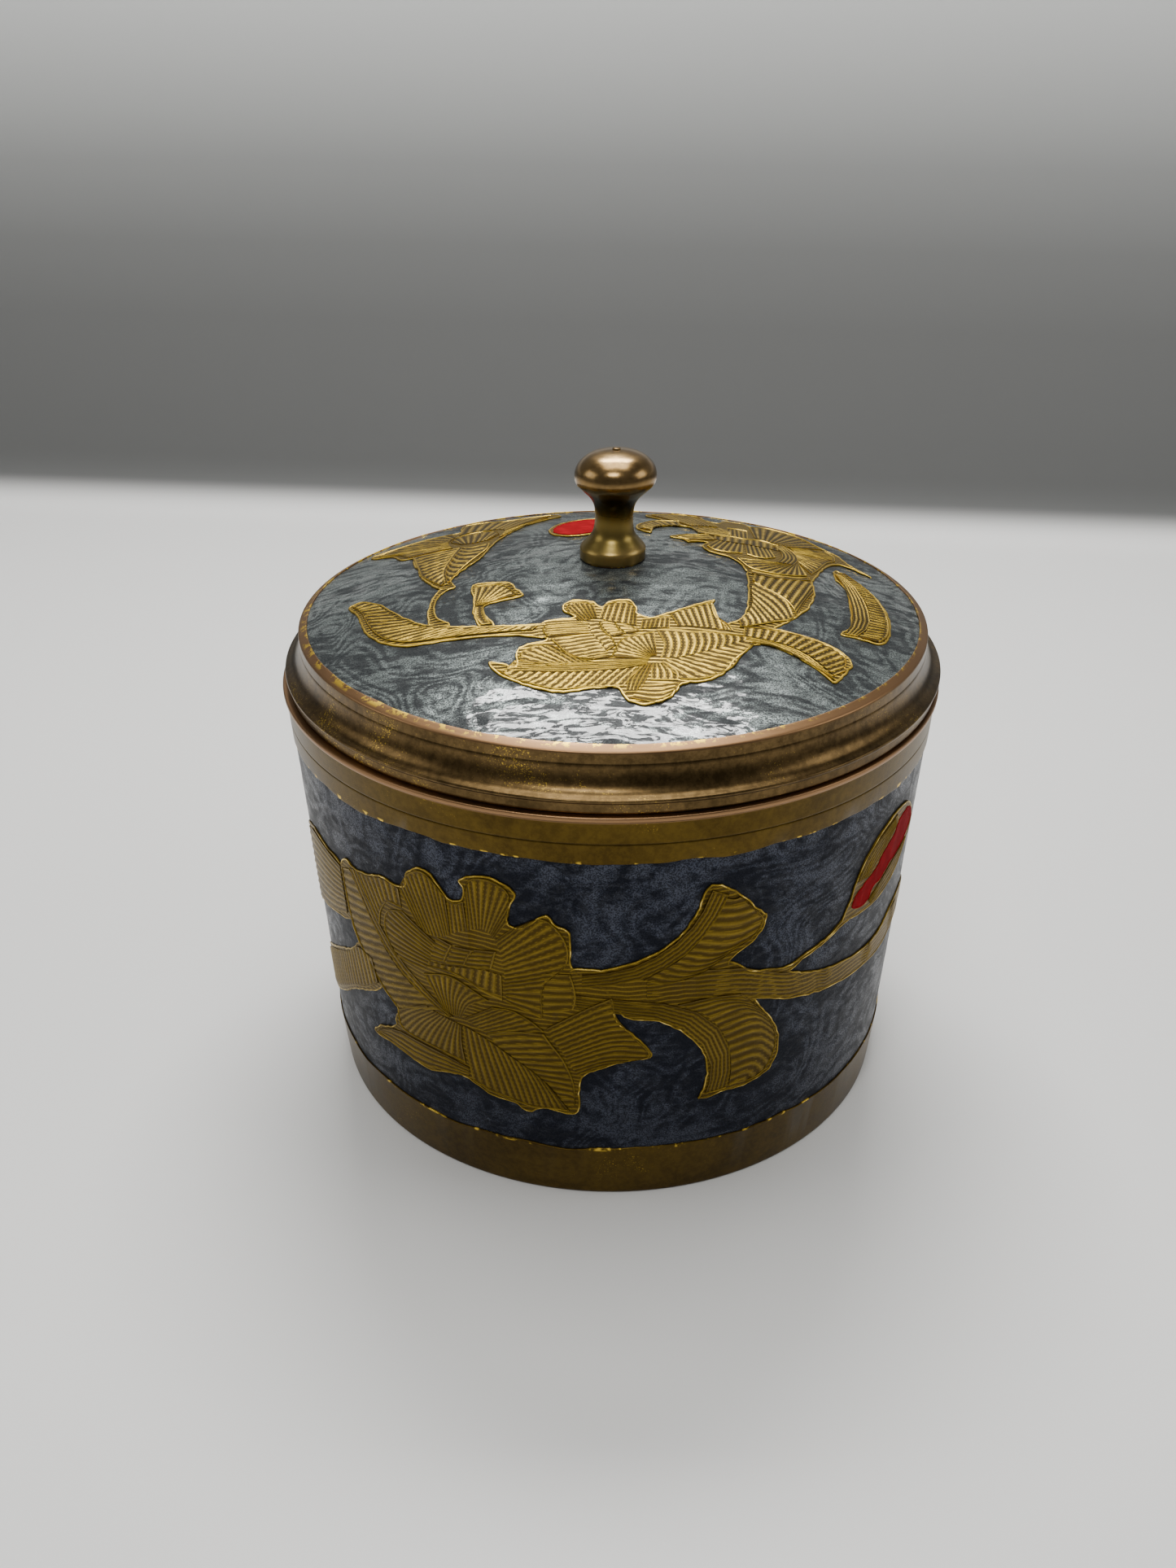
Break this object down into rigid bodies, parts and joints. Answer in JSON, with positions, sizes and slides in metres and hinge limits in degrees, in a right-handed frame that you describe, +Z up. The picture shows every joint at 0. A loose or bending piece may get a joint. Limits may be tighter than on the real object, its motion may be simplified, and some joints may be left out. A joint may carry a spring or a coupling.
{
  "type": "enamelled brass box",
  "caption": "Round, slightly flaring brass box with a loose domed lid and a turned knob; flower sprays stand in raised brass in a ground of dark enamel.",
  "frame": {"origin": "centre of the drum's underside, on the surface it stands on", "axes": "+Z up through the knob; -Y is the front that the picture shows; +X to the right of that view"},
  "size_m": [0.1142, 0.1142, 0.1149],
  "materials": {
    "aged_brass": "aged, satin, with worn bright edges",
    "turned_brass": "satin",
    "drum_enamel": "opaque glossy blue-black enamel with a pearly grain",
    "lid_enamel": "opaque glossy grey enamel with pearly streaks",
    "red_enamel": "opaque glossy red enamel"
  },
  "bodies": {
    "root": {"drum": "aged_brass", "drum_ground_enamel": "drum_enamel", "drum_bud_enamel_1": "red_enamel", "drum_bud_enamel_2": "red_enamel", "lid": "aged_brass", "lid_ground_enamel": "lid_enamel", "lid_bud_enamel": "red_enamel", "knob": "turned_brass"}
  },
  "joints": []
}
